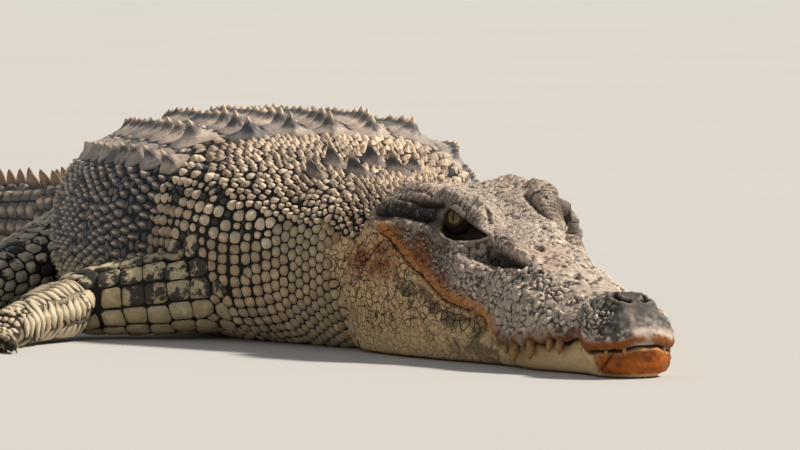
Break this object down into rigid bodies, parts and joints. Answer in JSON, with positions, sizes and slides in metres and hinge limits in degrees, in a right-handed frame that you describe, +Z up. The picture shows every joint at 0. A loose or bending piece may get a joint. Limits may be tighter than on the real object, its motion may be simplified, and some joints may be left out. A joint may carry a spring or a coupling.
{
  "type": "crocodile model",
  "caption": "Life-size saltwater crocodile lying at rest on its belly, head turned a little to its left, jaws closed, legs spread, tail trailing behind.",
  "frame": {"origin": "on the floor, under the middle of the whole animal's bounding box", "axes": "+Y along the trunk from head to tail, +X to the animal's left, +Z up from the floor it lies on"},
  "size_m": [0.998, 3.0114, 0.2466],
  "materials": {
    "skull": "rough, pitted skin over bone",
    "jaw": "cracked, smooth skin",
    "back": "dry horny scales",
    "tail": "dry horny scales",
    "limb": "satin scales",
    "foot": "satin scales",
    "eye": "wet and glossy"
  },
  "bodies": {
    "root": {"skull_and_upper_jaw": "skull", "lower_jaw": "jaw", "eye_left": "eye", "eye_right": "eye", "neck": "back", "trunk_front": "back", "trunk_rear": "back", "tail_base": "tail", "tail_second": "tail", "tail_third": "tail", "tail_fourth": "tail", "tail_tip": "tail", "upper_arm_left": "limb", "upper_arm_right": "limb", "forearm_left": "limb", "forearm_right": "limb", "hand_left": "foot", "hand_right": "foot", "thigh_left": "limb", "thigh_right": "limb", "shank_left": "limb", "shank_right": "limb", "foot_left": "foot", "foot_right": "foot"}
  },
  "joints": []
}
